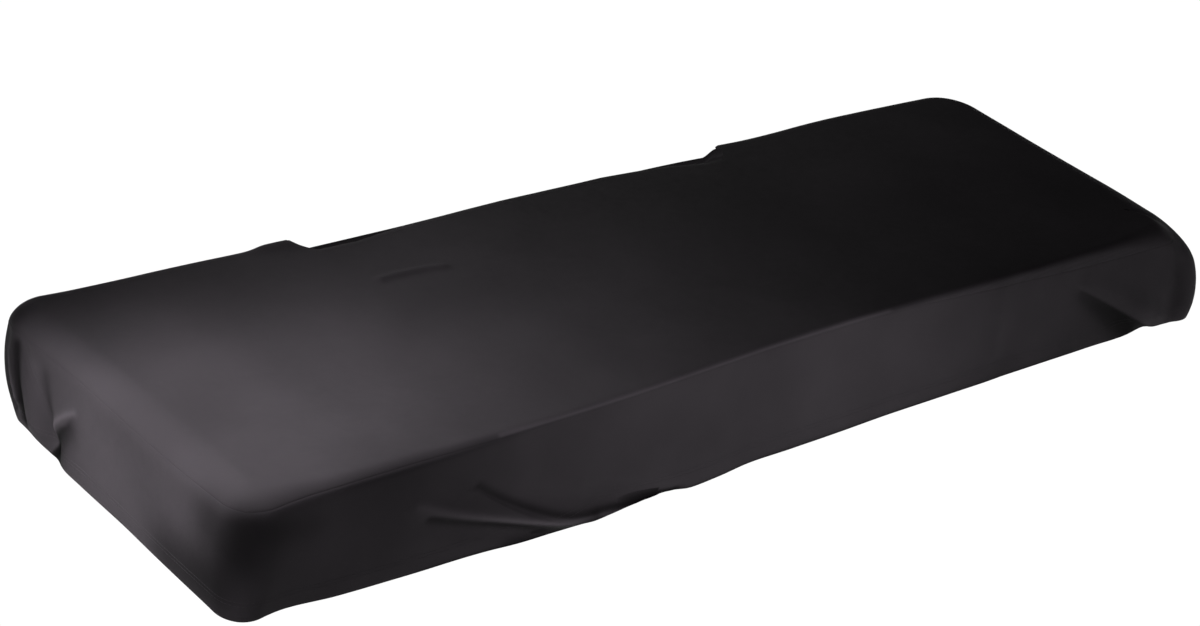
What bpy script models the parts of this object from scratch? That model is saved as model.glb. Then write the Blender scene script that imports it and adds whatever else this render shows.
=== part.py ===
"""Fitted stretch piano cover: a top panel and a skirt round its four sides, sewn together near the top
edge, with an unsewn slot along the rear. Metres, +Z up, origin under the middle of the cover at the hem's
level, the long front towards -Y."""

from collections import namedtuple
from math import pi

import bmesh
import bpy
import numpy as np

MM = 0.001
# The plain box that the cover is fitted to. The tables below say how the cloth leaves it.
LENGTH, DEPTH, HEIGHT = 0.980, 0.302, 0.0935
CLOTH = 0.002
SEAM_GAP = 0.0003
HALF_LENGTH, HALF_DEPTH = LENGTH / 2, DEPTH / 2
RIM_LENGTH = 2 * (LENGTH + DEPTH)
# The corners bag out unevenly, so the cover's own middle lies beside the plain box's.
MIDDLE_X, MIDDLE_Y = 0.0047, -0.0016

# The unsewn slot along the rear seam, by x: where it starts and ends, how long each end takes to open and how
# far below the top its rear side runs. inset is how far the panel's edge lies in from the box's rear side.
SLOT_FROM, SLOT_TO = -0.265, 0.188
SLOT_END = 0.012
SLOT_REAR_DROP = 0.015
Lip = namedtuple("Lip", "at inset")
LIP = (
    Lip(-262, 28.3),
    Lip(-240, 29.5),
    Lip(-217, 29.5),
    Lip(-162, 21.4),
    Lip(-62, 17.5),
    Lip(45, 17.2),
    Lip(107, 21.7),
    Lip(156, 32.6),
    Lip(182, 32.5),
)
LIP_TURN_DOWN = 0.0012
LIP_TURN_LENGTH = 0.008

# How finely the cloth is divided: columns and rows of the top, rings that turn down, and rows of the skirt.
TOP_COLUMNS, TOP_ROWS = 44, 13
TURN_RINGS = 5
SKIRT_COLUMNS, SKIRT_END_COLUMNS = 68, 22
SKIRT_ROWS = 10
# The flat middle of the top is a plain grid that ends this far from each side. The rings reach this far in.
GRID_MARGIN = 0.075
RINGS_REACH = 0.030

# Where the cloth's upright lines crowd together, by x on a long side and by y on an end.
Crowd = namedtuple("Crowd", "at width weight")
TOP_CROWDS = (
    Crowd(-HALF_LENGTH, 0.03, 3.2),
    Crowd(SLOT_FROM, 0.03, 1.2),
    Crowd(SLOT_TO, 0.03, 1.2),
    Crowd(HALF_LENGTH, 0.03, 3.2),
)
TOP_END_CROWDS = (
    Crowd(-HALF_DEPTH, 0.025, 1.6),
    Crowd(HALF_DEPTH, 0.025, 1.6),
)
SKIRT_CROWDS = (
    Crowd(-HALF_LENGTH, 0.03, 3.0),
    Crowd(-0.240, 0.12, 1.6),
    Crowd(SLOT_TO, 0.02, 0.8),
    Crowd(0.410, 0.07, 1.6),
    Crowd(HALF_LENGTH, 0.03, 3.0),
)
SKIRT_END_CROWDS = (
    Crowd(-HALF_DEPTH, 0.03, 1.2),
    Crowd(0.090, 0.05, 0.8),
    Crowd(HALF_DEPTH, 0.03, 1.2),
)

CLOTH_COLOUR = (0.018, 0.017, 0.018, 1.0)
CLOTH_ROUGHNESS = 0.75

# Plan radius of each upright corner, at the top edge and at the hem.
Corner = namedtuple("Corner", "name top hem")
CORNERS = (
    Corner("front_left", 0.030, 0.024),
    Corner("front_right", 0.046, 0.016),
    Corner("rear_right", 0.044, 0.024),
    Corner("rear_left", 0.026, 0.020),
)

# The cover's shape round its rim, in millimetres. at is the row's x on a long side and its y on an end. edge,
# middle and hem are how far the cloth stands out of the plain box at the top edge, half way down and at the
# hem, hem_up lifts the hem, radius turns the top edge and seam is how far below the top the seam runs.
Rim = namedtuple("Rim", "side at edge middle hem hem_up radius seam")
RIM = (
    Rim("front", -490, 0.0, 1.0, 0.5, 0.0, 20, 11.0),
    Rim("front", -450, -1.0, 0.0, -4.5, 0.0, 15, 7.0),
    Rim("front", -410, 0.0, 1.5, -0.3, 0.0, 11, 5.0),
    Rim("front", -358, 0.5, 3.5, 2.0, 0.0, 9, 4.0),
    Rim("front", -286, 1.5, 4.5, 5.0, 0.0, 7, 3.5),
    Rim("front", -222, 0.5, 4.5, 9.5, 0.0, 6, 3.0),
    Rim("front", -180, -0.6, 3.5, 4.5, 0.0, 6, 3.0),
    Rim("front", -123, -3.0, 1.5, 7.0, 0.0, 6, 3.0),
    Rim("front", -65, -6.0, 0.5, 7.0, 0.0, 6, 3.0),
    Rim("front", -35, -7.5, -0.5, 4.0, 0.2, 6, 3.0),
    Rim("front", 9, -8.7, -1.5, 4.0, 0.5, 6, 3.0),
    Rim("front", 119, -9.1, -3.0, 2.5, 1.0, 6, 3.5),
    Rim("front", 233, -7.0, -2.5, 2.0, 1.0, 7, 8.0),
    Rim("front", 340, -6.0, -1.0, 2.0, 1.5, 9, 12.0),
    Rim("front", 400, -5.5, 0.5, 3.5, 2.0, 13, 13.0),
    Rim("front", 424, -5.5, 1.5, 6.0, 2.0, 16, 13.0),
    Rim("front", 448, -5.5, 2.0, 2.0, 2.0, 21, 13.0),
    Rim("front", 470, -6.0, 4.0, 0.5, 2.0, 28, 13.5),
    Rim("front", 490, -7.5, 16.0, 13.0, 2.0, 39, 14.0),
    Rim("right", -124, -7.0, 13.0, 14.0, 2.0, 37, 13.0),
    Rim("right", -60, -6.0, 10.0, 9.0, 2.0, 30, 12.0),
    Rim("right", 20, -2.0, 7.0, 4.0, 2.0, 29, 12.0),
    Rim("right", 75, 0.0, 5.0, 0.0, 2.0, 27, 12.0),
    Rim("right", 120, -1.0, 3.0, -4.0, 2.0, 22, 12.0),
    Rim("rear", 440, -1.5, 1.0, -4.0, 2.0, 14, 10.0),
    Rim("rear", 300, -2.0, 2.0, -2.0, 2.0, 10, 8.0),
    Rim("rear", 215, -6.0, 1.0, -1.0, 2.0, 10, 8.0),
    Rim("rear", 150, -2.0, 2.0, -1.0, 1.5, 10, 8.0),
    Rim("rear", 0, 0.0, 3.0, 0.0, 1.0, 10, 8.0),
    Rim("rear", -280, -2.5, 2.0, -3.0, 1.5, 10, 8.0),
    Rim("rear", -370, -1.0, 3.0, -4.0, 1.5, 11, 9.0),
    Rim("rear", -440, 0.0, 4.0, -5.0, 1.5, 12, 10.0),
    Rim("rear", -490, 5.5, 10.0, -3.0, 1.0, 17, 13.0),
    Rim("left", 110, 1.0, 5.0, -3.0, 0.5, 18, 14.0),
    Rim("left", 60, 0.0, 2.5, 0.5, 0.0, 20, 15.0),
    Rim("left", -20, 0.0, 3.0, 0.0, 0.0, 22, 15.0),
    Rim("left", -115, 0.0, 2.5, 0.8, 0.0, 22, 13.0),
)

# Folds of the skirt, in millimetres. Each runs from one place and height to another, bowed up by bow at its
# middle. It pushes the cloth out, or in where out is negative, over half_width each way, and both change
# evenly from its start to its end.
Fold = namedtuple("Fold", "side at height to_at to_height bow out to_out half_width to_half_width")
FOLDS = (
    # The swag that sinks to the hem on the left half of the front, with the hollows over and under it.
    Fold("front", -352, 53, -150, -9, -2, 0.8, 5.5, 9, 9),
    Fold("front", -300, 52, -112, -2, -2, -0.8, -4.0, 9, 9),
    Fold("front", -348, 40, -206, -8, -2, -0.5, -4.5, 8, 9),
    # The pinched fold near the right end: a recess that widens to the hem, and the flap that laps over it.
    Fold("front", 342, 57, 436, -5, -1, -1.5, -6.5, 6, 13),
    Fold("front", 350, 64, 466, 4, 0, 1.5, 4.5, 9, 11),
    Fold("front", 259, 76, 256, 20, 0, -0.8, -1.8, 13, 15),
    # The gathers at the rear of the left end, and the rounded fold beside them.
    Fold("left", 126, 76, 84, 13, 3, -1.5, -6.5, 7, 9),
    Fold("left", 108, 62, 106, 14, 0, 1.0, 3.0, 10, 11),
    Fold("left", 140, 72, 135, 16, 0, -2.0, -4.0, 7, 7),
    Fold("left", 70, 40, 60, 12, 4, 1.0, 4.0, 10, 12),
    # Slack on the ends and the rear, as cloth hangs where nothing pulls it straight.
    Fold("right", -66, 66, -92, 8, 4, -0.5, -4.5, 12, 16),
    Fold("right", 92, 66, 104, 8, -3, -0.5, -4.5, 12, 15),
    Fold("rear", 390, 66, 412, 8, 4, -0.5, -4.0, 14, 17),
    Fold("rear", 70, 56, 20, 8, -4, -0.5, -3.0, 18, 24),
    Fold("rear", -398, 66, -424, 8, -4, -0.5, -4.5, 14, 16),
)

# Rises and hollows of the top, in millimetres, from one place to another, bowed, up by rise over half_width.
Relief = namedtuple("Relief", "x y to_x to_y bow rise half_width")
RELIEFS = (
    # Cloth bunched at the left end of the slot.
    Relief(-279, 144, -263, 141, 0, 3.2, 10),
    # The stretched middle sags a little.
    Relief(-380, -30, 380, -40, 0, -2.4, 62),
    # A faint crease on the top, left of the middle.
    Relief(-230, 74, -170, 56, 0, 1.2, 9),
)

# The step over which the cloth's slope is measured.
SLOPE_STEP = 0.0004


def rim_place(side, at):
    """Metres round the plain box from its front left corner, for a place on one side."""
    start = {"front": HALF_LENGTH + at, "right": LENGTH + HALF_DEPTH + at}
    start["rear"] = LENGTH + DEPTH + HALF_LENGTH - at
    start["left"] = 2 * LENGTH + DEPTH + HALF_DEPTH - at
    return start[side]


def round_the_rim(places, values, at):
    """A closed smooth curve through the values at the places, read at at."""
    order = np.argsort(places)
    x = np.asarray(places, float)[order]
    y = np.asarray(values, float)[order]
    x = np.concatenate([x[-2:] - RIM_LENGTH, x, x[:2] + RIM_LENGTH])
    y = np.concatenate([y[-2:], y, y[:2]])
    slope = np.gradient(y, x)
    at = np.mod(at, RIM_LENGTH)
    i = np.clip(np.searchsorted(x, at, side="right") - 1, 0, len(x) - 2)
    step = x[i + 1] - x[i]
    t = (at - x[i]) / step
    rise = t * t * (3 - 2 * t)
    bend = slope[i] * t * (1 - t) ** 2 - slope[i + 1] * t * t * (1 - t)
    return y[i] * (1 - rise) + y[i + 1] * rise + step * bend


def rim_values(s):
    """The columns of the rim table at s, in metres."""
    places = [rim_place(row.side, row.at * MM) for row in RIM]
    columns = Rim._fields[2:]
    found = {c: round_the_rim(places, [getattr(row, c) * MM for row in RIM], s) for c in columns}
    found["hem_up"] = np.maximum(found["hem_up"], 0.0)
    return found


def outline(s, share):
    """The plan point and outward direction at s, a share of the way down the box."""
    s = np.mod(s, RIM_LENGTH)
    ends = np.array([0.0, LENGTH, LENGTH + DEPTH, 2 * LENGTH + DEPTH, RIM_LENGTH])
    starts = np.array([[-1, -1], [1, -1], [1, 1], [-1, 1]]) * [HALF_LENGTH, HALF_DEPTH]
    runs = np.array([[1, 0], [0, 1], [-1, 0], [0, -1]], float)
    side = np.clip(np.searchsorted(ends, s, side="right") - 1, 0, 3)
    point = starts[side] + runs[side] * (s - ends[side])[:, None]
    out = np.stack([runs[side][:, 1], -runs[side][:, 0]], 1)
    for k, corner in enumerate(CORNERS):
        radius = corner.top + (corner.hem - corner.top) * share
        away = np.mod(s - ends[k] + RIM_LENGTH / 2, RIM_LENGTH) - RIM_LENGTH / 2
        near = np.abs(away) < radius
        radius = radius[near]
        angle = pi / 4 * away[near] / radius + pi / 2 * k - 3 * pi / 4
        ray = np.stack([np.cos(angle), np.sin(angle)], 1)
        centre = starts[k] - np.sign(starts[k]) * radius[:, None]
        point[near], out[near] = centre + radius[:, None] * ray, ray
    return point, out


def ridge(x, y, line, lifts, half_widths):
    """A soft ridge along a bowed line. Its lift and half width change evenly from one end to the other."""
    x0, y0, x1, y1, bow = line
    length = np.hypot(x1 - x0, y1 - y0)
    along = ((x - x0) * (x1 - x0) + (y - y0) * (y1 - y0)) / length
    beside = ((y - y0) * (x1 - x0) - (x - x0) * (y1 - y0)) / length
    share = np.clip(along / length, 0, 1)
    past = along - share * length
    beside = beside - bow * 4 * share * (1 - share)
    lift = lifts[0] + (lifts[1] - lifts[0]) * share
    half_width = half_widths[0] + (half_widths[1] - half_widths[0]) * share
    return lift * np.exp(-(beside**2 + past**2) / half_width**2)


def fold_out(s, z):
    """How far the folds push the skirt out at s and height z."""
    total = np.zeros_like(s)
    for fold in FOLDS:
        start, end = rim_place(fold.side, fold.at * MM), rim_place(fold.side, fold.to_at * MM)
        sign = 1 if end >= start else -1
        line = (start, fold.height * MM, end, fold.to_height * MM, sign * fold.bow * MM)
        lifts = (fold.out * MM, fold.to_out * MM)
        total += ridge(s, z, line, lifts, (fold.half_width * MM, fold.to_half_width * MM))
    return total


def relief_up(x, y):
    """How far the reliefs lift the top at x, y."""
    total = np.zeros_like(x)
    for row in RELIEFS:
        line = (row.x * MM, row.y * MM, row.to_x * MM, row.to_y * MM, row.bow * MM)
        total += ridge(x, y, line, (row.rise * MM,) * 2, (row.half_width * MM,) * 2)
    return total


def rear_x(s):
    """x along the rear side. Elsewhere round the rim it lies past the rear's ends."""
    return HALF_LENGTH - (np.mod(s, RIM_LENGTH) - LENGTH - DEPTH)


def slot_share(s):
    """0 where the rear seam is sewn, 1 where the slot is fully open."""
    x = rear_x(s)
    share = np.clip(np.minimum(x - SLOT_FROM, SLOT_TO - x) / SLOT_END, 0, 1)
    return share * share * (3 - 2 * share)


def down_to(drop, radius):
    """How far the cloth runs from the start of the turn to a drop below the top."""
    turned = radius * np.arccos(1 - np.clip(drop / radius, 0, 1))
    return turned + np.maximum(drop - radius, 0)


def panel_end(s):
    """Where the top panel ends, as a run from the start of the turn: at the seam, or at the slot's lip."""
    rim = rim_values(s)
    inset = np.interp(rear_x(s), [row.at * MM for row in LIP], [row.inset * MM for row in LIP])
    seam, lip = down_to(rim["seam"], rim["radius"]), rim["radius"] - rim["edge"] - inset
    return seam + (lip - seam) * slot_share(s)


def skirt_start(s):
    """Where the skirt starts: at the seam, or at the slot's rear side."""
    rim = rim_values(s)
    seam = down_to(rim["seam"], rim["radius"]) + SEAM_GAP
    rear = down_to(np.full_like(s, SLOT_REAR_DROP), rim["radius"])
    return seam + (rear - seam) * slot_share(s)


def skirt_end(s):
    """Where the skirt ends, at the hem."""
    rim = rim_values(s)
    return down_to(HEIGHT - rim["hem_up"], rim["radius"])


def inner_point(s):
    """The plan point on the sharp rectangle round the top's middle grid that s runs in to."""
    s = np.mod(s, RIM_LENGTH)
    ends = np.array([0.0, LENGTH, LENGTH + DEPTH, 2 * LENGTH + DEPTH])
    corners = np.array([[-1, -1], [1, -1], [1, 1], [-1, 1]], float)
    corners *= [HALF_LENGTH - GRID_MARGIN, HALF_DEPTH - GRID_MARGIN]
    side = np.clip(np.searchsorted(ends, s, side="right") - 1, 0, 3)
    share = ((s - ends[side]) / np.array([LENGTH, DEPTH, LENGTH, DEPTH])[side])[:, None]
    return corners[side] * (1 - share) + corners[(side + 1) % 4] * share


def cloth(s, run):
    """The cloth's outer face at s round the rim, a run in metres past the start of the turn."""
    rim = rim_values(s)
    radius = rim["radius"]
    turn = np.clip(run / radius, 0, pi / 2)
    drop = radius * (1 - np.cos(turn)) + np.maximum(run - radius * pi / 2, 0)
    share = np.clip(drop / (HEIGHT - rim["hem_up"]), 0, 1)
    out = rim["edge"] * (1 - share) * (1 - 2 * share) + rim["middle"] * 4 * share * (1 - share)
    out += rim["hem"] * share * (2 * share - 1)
    height = HEIGHT - drop
    out += fold_out(s, height) * np.sin(turn) ** 2
    point, normal = outline(s, share)
    plan = point + normal * (out - radius * (1 - np.sin(turn)))[:, None]
    inward = inner_point(s) - plan
    plan = plan + inward * (np.maximum(-run, 0) / np.linalg.norm(inward, axis=1))[:, None]
    height = height + relief_up(plan[:, 0], plan[:, 1]) * np.cos(turn)
    lip = np.clip(1 - np.abs(panel_end(s) - run) / LIP_TURN_LENGTH, 0, 1) * slot_share(s)
    return np.column_stack([plan, height - LIP_TURN_DOWN * lip * lip])


def normals(s, run):
    """The cloth's outward direction at s and run."""
    round_it = cloth(s + SLOPE_STEP, run) - cloth(s - SLOPE_STEP, run)
    down_it = cloth(s, run + SLOPE_STEP) - cloth(s, run - SLOPE_STEP)
    found = np.cross(down_it, round_it)
    return found / np.linalg.norm(found, axis=1)[:, None]


def spread(half, count, crowds):
    """count + 1 places from -half to half, closer together at each crowd."""
    fine = np.linspace(-half, half, 2001)
    weight = 1 + sum(crowd.weight * np.exp(-(((fine - crowd.at) / crowd.width) ** 2)) for crowd in crowds)
    total = np.concatenate([[0], np.cumsum((weight[1:] + weight[:-1]) / 2)])
    return np.interp(np.linspace(0, total[-1], count + 1), total, fine)


def rim_loop(columns, rows):
    """The places once round the rim of upright lines at columns on the long sides and rows on the ends."""
    return np.concatenate(
        [
            [rim_place("front", x) for x in columns[:-1]],
            [rim_place("right", y) for y in rows[:-1]],
            [rim_place("rear", x) for x in columns[:0:-1]],
            [rim_place("left", y) for y in rows[:0:-1]],
        ]
    )


def thick_sheet(name, outer, inner, quads, edge_loops, material):
    """One closed solid between two faces of cloth. quads index both, edge_loops run along its free edges."""
    middle = np.array([MIDDLE_X, MIDDLE_Y, 0.0])
    shape = bmesh.new()
    over = [shape.verts.new(p) for p in outer - middle]
    under = [shape.verts.new(p) for p in inner - middle]
    for quad in quads:
        shape.faces.new([over[i] for i in quad])
        shape.faces.new([under[i] for i in reversed(quad)])
    for loop in edge_loops:
        for a, b in zip(loop, np.roll(loop, -1)):
            shape.faces.new([over[b], over[a], under[a], under[b]])
    bmesh.ops.recalc_face_normals(shape, faces=shape.faces)
    mesh = bpy.data.meshes.new(name)
    shape.to_mesh(mesh)
    shape.free()
    mesh.shade_smooth()
    mesh.set_sharp_from_angle(angle=pi / 3)
    mesh.materials.append(material)
    made = bpy.data.objects.new(name, mesh)
    bpy.context.scene.collection.objects.link(made)
    return made


def ring_quads(rings, count):
    """Quads between neighbouring rings of count points each."""
    return [
        (k * count + i, (k + 1) * count + i, (k + 1) * count + (i + 1) % count, k * count + (i + 1) % count)
        for k in range(rings - 1)
        for i in range(count)
    ]


def grid_quads(first, wide, deep):
    """Quads of a grid, deep rows of wide points from the index first on, and its border's indices."""
    index = first + np.arange(wide * deep).reshape(deep, wide)
    corners = (index[:-1, :-1], index[:-1, 1:], index[1:, 1:], index[1:, :-1])
    quads = [tuple(quad) for quad in np.stack(corners, 2).reshape(-1, 4)]
    border = np.concatenate([index[0, :-1], index[:-1, -1], index[-1, :0:-1], index[:0:-1, 0]])
    return quads, border


def make_top_panel(material):
    columns = spread(HALF_LENGTH, TOP_COLUMNS, TOP_CROWDS)
    rows = spread(HALF_DEPTH, TOP_ROWS, TOP_END_CROWDS)
    loop = rim_loop(columns, rows)
    count = len(loop)
    # The first ring lies on the seam or the lip, and the last one on the way to the middle grid.
    end = panel_end(loop)
    runs = [end - (RINGS_REACH + end) * share for share in np.linspace(0, 1, TURN_RINGS)]
    rings = np.concatenate([cloth(loop, run) for run in runs])
    ring_normals = np.concatenate([normals(loop, run) for run in runs])

    x, y = np.meshgrid(columns * (1 - GRID_MARGIN / HALF_LENGTH), rows * (1 - GRID_MARGIN / HALF_DEPTH))
    grid = np.column_stack([x.ravel(), y.ravel(), HEIGHT + relief_up(x.ravel(), y.ravel())])
    outer = np.concatenate([rings, grid])
    inner = np.concatenate([rings - CLOTH * ring_normals, grid - [0, 0, CLOTH]])

    quads = [tuple(reversed(quad)) for quad in ring_quads(TURN_RINGS, count)]
    grid_part, border = grid_quads(len(rings), len(columns), len(rows))
    last = (TURN_RINGS - 1) * count
    joined = [(last + i, last + (i + 1) % count, border[(i + 1) % count], border[i]) for i in range(count)]
    return thick_sheet("top_panel", outer, inner, quads + grid_part + joined, [list(range(count))], material)


def make_skirt(material):
    columns = spread(HALF_LENGTH, SKIRT_COLUMNS, SKIRT_CROWDS)
    rows = spread(HALF_DEPTH, SKIRT_END_COLUMNS, SKIRT_END_CROWDS)
    loop = rim_loop(columns, rows)
    count = len(loop)
    start, end = skirt_start(loop), skirt_end(loop)
    runs = [start + (end - start) * share for share in np.linspace(0, 1, SKIRT_ROWS)]
    outer = np.concatenate([cloth(loop, run) for run in runs])
    inner = outer - CLOTH * np.concatenate([normals(loop, run) for run in runs])
    hem = (SKIRT_ROWS - 1) * count
    # The hem's cut edge lies level, so that the cover stands on it.
    inner[hem:, 2] = outer[hem:, 2]
    edges = [list(range(count)), list(range(hem, hem + count))]
    return thick_sheet("skirt", outer, inner, ring_quads(SKIRT_ROWS, count), edges, material)


def cloth_material(name):
    material = bpy.data.materials.new(name)
    material.use_nodes = True
    shader = material.node_tree.nodes["Principled BSDF"]
    shader.inputs["Base Color"].default_value = CLOTH_COLOUR
    shader.inputs["Roughness"].default_value = CLOTH_ROUGHNESS
    shader.inputs["Metallic"].default_value = 0.0
    return material


for old in list(bpy.data.objects):
    bpy.data.objects.remove(old)
make_top_panel(cloth_material("top_cloth"))
make_skirt(cloth_material("skirt_cloth"))
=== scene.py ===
"""Fitted stretch piano cover, dressed: the top panel and the skirt in fine uneven cloth with turned edges and
sewn rows, in a black knit, on a pale floor in soft light. Metres, +Z up, the front towards -Y."""

from collections import namedtuple
from math import pi, radians

import bpy
import numpy as np
from mathutils import Matrix, Vector


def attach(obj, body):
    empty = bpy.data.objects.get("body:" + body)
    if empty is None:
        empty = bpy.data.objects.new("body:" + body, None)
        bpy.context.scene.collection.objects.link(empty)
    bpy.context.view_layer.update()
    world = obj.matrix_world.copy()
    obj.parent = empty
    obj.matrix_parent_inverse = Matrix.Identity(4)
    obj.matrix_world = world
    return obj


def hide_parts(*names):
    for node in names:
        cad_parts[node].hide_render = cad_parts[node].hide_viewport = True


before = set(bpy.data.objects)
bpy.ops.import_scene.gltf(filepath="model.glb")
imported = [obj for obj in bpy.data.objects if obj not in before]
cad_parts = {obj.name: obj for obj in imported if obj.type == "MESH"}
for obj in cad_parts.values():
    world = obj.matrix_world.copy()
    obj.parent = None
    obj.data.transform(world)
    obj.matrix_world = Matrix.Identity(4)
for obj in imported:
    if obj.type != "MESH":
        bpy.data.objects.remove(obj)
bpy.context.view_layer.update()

MM = 0.001
# The plain box that the cover is fitted to. The tables below say how the cloth leaves it.
LENGTH, DEPTH, HEIGHT = 0.980, 0.302, 0.0935
HALF_LENGTH, HALF_DEPTH = LENGTH / 2, DEPTH / 2
RIM_LENGTH = 2 * (LENGTH + DEPTH)
# The corners bag out unevenly, so the cover's own middle lies beside the plain box's.
MIDDLE_X, MIDDLE_Y = 0.0047, -0.0016
# How thick the cloth is, and how far the two turned edges press into each other along the seam, so that no
# light comes through.
CLOTH = 0.0004
SEAM_PINCH = 0.0003

# The unsewn slot along the rear seam, by x: where it starts and ends, how long each end takes to open and
# how far below the top its rear side runs. inset is how far the panel's edge lies in from the box's rear
# side.
SLOT_FROM, SLOT_TO = -0.265, 0.188
SLOT_END = 0.012
SLOT_REAR_DROP = 0.015
Lip = namedtuple("Lip", "at inset")
LIP = (
    Lip(-262, 28.3),
    Lip(-240, 29.5),
    Lip(-217, 29.5),
    Lip(-162, 21.4),
    Lip(-62, 17.5),
    Lip(45, 17.2),
    Lip(107, 21.7),
    Lip(156, 32.6),
    Lip(182, 32.5),
)
# How far the lip bends down at the slot, and over what length.
LIP_TURN_DOWN = 0.0012
LIP_TURN_LENGTH = 0.008

# How finely the cloth is divided: columns along the long sides and the ends, shared by both pieces so that
# their seam closes evenly, rings between the top's middle and its edge, and rows down the skirt.
COLUMNS, END_COLUMNS = 272, 92
TOP_RINGS = 22
SKIRT_ROWS = 52
# The flat middle of the top is a plain grid that ends this far from each side. The rings reach this far in,
# and no further than a share of the way to the grid. They lie closer together near the edge, by this power.
GRID_MARGIN = 0.075
RINGS_REACH = 0.045
RINGS_SHARE = 0.85
RINGS_POWER = 1.3

# Edges turned under: the radius of the turn, how far the cloth runs back, and the rows in each.
EDGE_RADIUS = 0.00045
EDGE_BACK = 0.009
HEM_RADIUS = 0.0009
HEM_BACK = 0.018
TURN_ROWS = 5
BACK_ROWS = 2

# Where the cloth's upright lines crowd together, by x on a long side and by y on an end, and the steps in
# which their crowding is summed.
CROWD_STEPS = 4000
Crowd = namedtuple("Crowd", "at width weight")
CROWDS = (
    Crowd(-HALF_LENGTH, 0.04, 1.5),
    Crowd(SLOT_FROM, 0.02, 1.5),
    Crowd(-0.240, 0.12, 0.7),
    Crowd(SLOT_TO, 0.02, 1.5),
    Crowd(0.400, 0.06, 1.2),
    Crowd(HALF_LENGTH, 0.04, 1.5),
)
END_CROWDS = (
    Crowd(-HALF_DEPTH, 0.03, 0.8),
    Crowd(0.085, 0.06, 1.5),
    Crowd(HALF_DEPTH, 0.03, 0.8),
)

# Plan radius of each upright corner, at the top edge and at the hem.
Corner = namedtuple("Corner", "name top hem")
CORNERS = (
    Corner("front_left", 0.030, 0.024),
    Corner("front_right", 0.046, 0.016),
    Corner("rear_right", 0.044, 0.024),
    Corner("rear_left", 0.026, 0.020),
)

# The cover's shape round its rim, in millimetres. at is the row's x on a long side and its y on an end.
# edge, middle and hem are how far the cloth stands out of the plain box at the top edge, half way down and
# at the hem, hem_up lifts the hem, radius turns the top edge and seam is how far below the top the seam
# runs.
Rim = namedtuple("Rim", "side at edge middle hem hem_up radius seam")
RIM = (
    Rim("front", -490, 0.0, 1.0, 0.5, 0.0, 20, 11.0),
    Rim("front", -450, -1.0, 0.0, -4.5, 0.0, 15, 7.0),
    Rim("front", -410, 0.0, 1.5, -0.3, 0.0, 11, 5.0),
    Rim("front", -358, 0.5, 3.5, 2.0, 0.0, 9, 4.0),
    Rim("front", -286, 1.5, 4.5, 5.0, 0.0, 6, 3.5),
    Rim("front", -222, 0.5, 4.5, 12.0, 0.0, 4, 3.0),
    Rim("front", -180, -0.6, 3.5, 3.5, 0.0, 4, 3.0),
    Rim("front", -123, -3.0, 1.5, 9.0, 0.0, 4, 3.0),
    Rim("front", -65, -6.0, 0.5, 7.0, 0.0, 4, 3.0),
    Rim("front", -35, -7.5, -0.5, 4.0, 0.2, 4, 3.0),
    Rim("front", 9, -8.7, -1.5, 4.0, 0.5, 4, 3.0),
    Rim("front", 119, -9.1, -3.0, 2.5, 1.0, 4, 3.5),
    Rim("front", 233, -7.0, -2.5, 2.0, 1.0, 4, 8.0),
    Rim("front", 340, -6.0, -1.0, 2.0, 1.5, 5, 12.0),
    Rim("front", 400, -5.5, 0.5, 3.5, 1.5, 8, 13.0),
    Rim("front", 424, -5.5, 1.5, 6.0, 1.0, 12, 13.0),
    Rim("front", 448, -5.5, 2.0, 2.0, 1.5, 18, 13.0),
    Rim("front", 470, -6.0, 4.0, 0.5, 2.0, 28, 13.5),
    Rim("front", 490, -7.5, 16.0, 13.0, 2.0, 39, 14.0),
    Rim("right", -124, -7.0, 13.0, 14.0, 2.0, 37, 13.0),
    Rim("right", -60, -6.0, 10.0, 9.0, 2.0, 30, 12.0),
    Rim("right", 20, -2.0, 7.0, 4.0, 2.0, 29, 12.0),
    Rim("right", 75, 0.0, 5.0, 0.0, 2.0, 27, 12.0),
    Rim("right", 120, -1.0, 3.0, -4.0, 2.0, 22, 12.0),
    Rim("rear", 440, -1.5, 1.0, -4.0, 2.0, 14, 10.0),
    Rim("rear", 300, -2.0, 2.0, -2.0, 2.0, 10, 8.0),
    Rim("rear", 215, -6.0, 1.0, -1.0, 2.0, 10, 8.0),
    Rim("rear", 150, -2.0, 2.0, -1.0, 1.5, 10, 8.0),
    Rim("rear", 0, 0.0, 3.0, 0.0, 1.0, 10, 8.0),
    Rim("rear", -280, -2.5, 2.0, -3.0, 1.5, 10, 8.0),
    Rim("rear", -370, -1.0, 3.0, -4.0, 1.5, 11, 9.0),
    Rim("rear", -440, 0.0, 4.0, -5.0, 1.5, 12, 10.0),
    Rim("rear", -490, 5.5, 10.0, -3.0, 1.0, 17, 13.0),
    Rim("left", 110, 1.0, 5.0, -3.0, 0.5, 18, 14.0),
    Rim("left", 60, 0.0, 2.5, 0.5, 0.0, 20, 15.0),
    Rim("left", -20, 0.0, 3.0, 0.0, 0.0, 22, 15.0),
    Rim("left", -115, 0.0, 2.5, 0.8, 0.0, 22, 13.0),
)

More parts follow.
